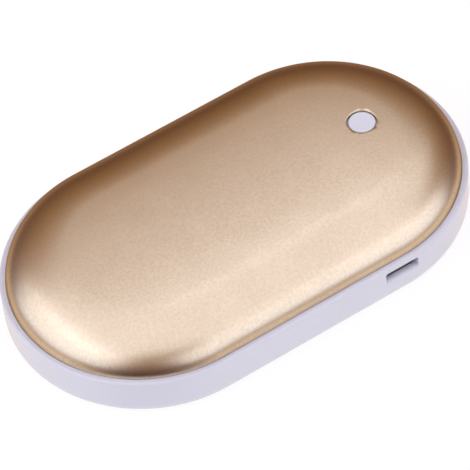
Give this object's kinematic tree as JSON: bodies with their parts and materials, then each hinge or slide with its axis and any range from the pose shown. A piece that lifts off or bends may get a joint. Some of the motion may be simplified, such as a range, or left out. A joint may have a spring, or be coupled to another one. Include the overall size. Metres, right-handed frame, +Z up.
{
  "type": "rechargeable hand warmer",
  "caption": "Pocket hand warmer with a domed aluminium cover that heats, a plastic lower case, a press button on top and a charging socket in its side.",
  "frame": {"origin": "middle of the flat underside", "axes": "+Z up through the cover, +X along the length towards the button, -Y towards the side with the charging socket"},
  "size_m": [0.108, 0.0626, 0.0189],
  "materials": {
    "case_white": "glossy moulded ABS",
    "cover_gold": "bead-blasted and anodised champagne gold",
    "button_white": "satin moulded polycarbonate",
    "frame_plastic": "moulded ABS",
    "glue": "cured adhesive",
    "board_laminate": "solder mask on glass laminate",
    "black_resin": "moulded black resin",
    "stamped_steel": "nickel-plated stamping",
    "spring_metal": "rolled spring steel",
    "tinned_metal": "tinned",
    "contact_gold": "gold-plated",
    "ferrite": "pressed ferrite",
    "capacitor_ceramic": "fired ceramic",
    "resistor_black": "lacquered ceramic",
    "led_lens": "clear yellow resin",
    "screw_steel": "zinc-plated",
    "pouch_foil": "laminated foil",
    "amber_film": "polyimide film",
    "heater_foil": "etched foil",
    "white_foam": "foam tape",
    "grey_foam": "closed-cell foam",
    "sensor_resin": "dipped epoxy",
    "wire_red": "silicone insulation",
    "wire_black": "silicone insulation",
    "wire_white": "silicone insulation"
  },
  "bodies": {
    "root": {"bottom_case": "case_white", "top_cover": "cover_gold", "inner_frame": "frame_plastic", "cover_adhesive": "glue", "button_guide": "frame_plastic", "circuit_board": "board_laminate", "switch_base": "black_resin", "switch_cover": "stamped_steel", "switch_snap_dome": "spring_metal", "switch_terminals": "tinned_metal", "usb_shell": "stamped_steel", "usb_housing": "black_resin", "usb_contacts": "contact_gold", "controller_chip": "black_resin", "charger_chip": "black_resin", "power_transistors": "black_resin", "chip_pins": "tinned_metal", "power_inductor": "ferrite", "capacitors": "capacitor_ceramic", "resistors": "resistor_black", "status_leds": "led_lens", "component_end_caps": "tinned_metal", "board_screws": "screw_steel", "battery_cell": "pouch_foil", "cell_tabs": "tinned_metal", "protection_board": "board_laminate", "protection_chips": "black_resin", "cell_tape": "amber_film", "battery_foam_tape": "white_foam", "insulation_pad": "grey_foam", "heater_film": "amber_film", "heater_track": "heater_foil", "thermistor": "sensor_resin", "sensor_tape": "amber_film", "battery_lead_red": "wire_red", "battery_lead_black": "wire_black", "heater_leads": "wire_white", "thermistor_leads": "wire_white", "solder_joints": "tinned_metal"},
    "button": {"button_cap": "button_white"},
    "plunger": {"switch_plunger": "black_resin"}
  },
  "joints": [
    {"name": "button_press", "type": "slide", "parent": "root", "child": "button", "axis": [0, 0, -1], "range_m": [0, 0.00025], "stiffness_N_per_m": 2000},
    {"name": "plunger_press", "type": "slide", "parent": "root", "child": "plunger", "axis": [0, 0, -1], "range_m": [0, 0.00025], "deforming": ["switch_snap_dome"]}
  ],
  "couplings": [
    {"joint": "plunger_press", "follows": "button_press", "ratio": 1}
  ]
}
